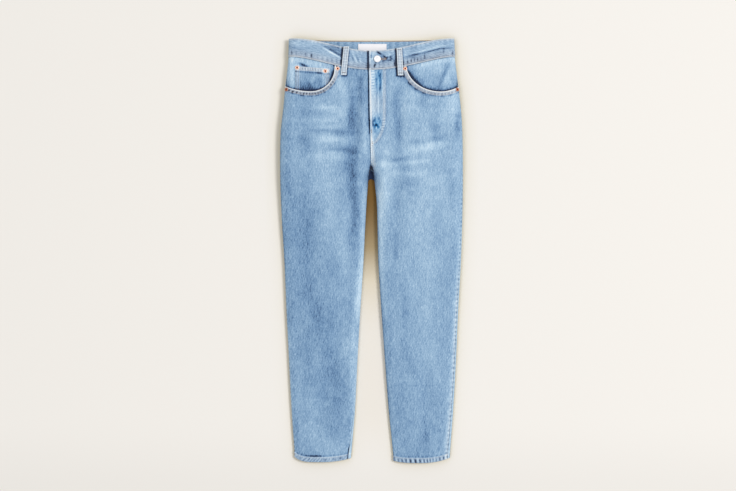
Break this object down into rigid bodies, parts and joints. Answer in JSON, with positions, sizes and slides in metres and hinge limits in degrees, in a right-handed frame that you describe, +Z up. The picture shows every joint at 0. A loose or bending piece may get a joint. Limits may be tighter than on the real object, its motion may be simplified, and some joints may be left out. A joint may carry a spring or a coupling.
{
  "type": "straight jeans laid flat",
  "caption": "Straight high-rise denim jeans laid flat on their back, buttoned, with fly, yokes, pockets, coin pocket, belt loops and rivets; the waist and both legs are hollow and open",
  "frame": {"origin": "on the surface that the garment lies on, under the middle of its box", "axes": "+Z up from the surface, so that the front of the garment faces +Z; +Y towards the waist, -Y towards the hems; +X towards the wearer's left side"},
  "size_m": [0.4393, 1.02, 0.0344],
  "materials": {
    "denim": "light blue washed cotton twill, faded over the thighs",
    "label": "bare white woven tape",
    "button": "bright domed metal",
    "rivet": "copper-coloured metal"
  },
  "bodies": {
    "root": {"back_right": "denim", "back_left": "denim", "back_pocket_right": "denim", "back_pocket_left": "denim", "yoke_right": "denim", "yoke_left": "denim", "pocket_facing_right": "denim", "pocket_facing_left": "denim", "coin_pocket": "denim", "front_right": "denim", "front_left": "denim", "waistband_back": "denim", "waistband_right": "denim", "waistband_left": "denim", "belt_loop_front_right": "denim", "belt_loop_front_left": "denim", "belt_loop_back_right": "denim", "belt_loop_back_middle": "denim", "belt_loop_back_left": "denim", "label": "label", "button": "button", "rivet_coin_outer": "rivet", "rivet_coin_inner": "rivet", "rivet_pocket_right_inner": "rivet", "rivet_pocket_left_inner": "rivet", "rivet_pocket_right_side": "rivet", "rivet_pocket_left_side": "rivet"}
  },
  "joints": []
}
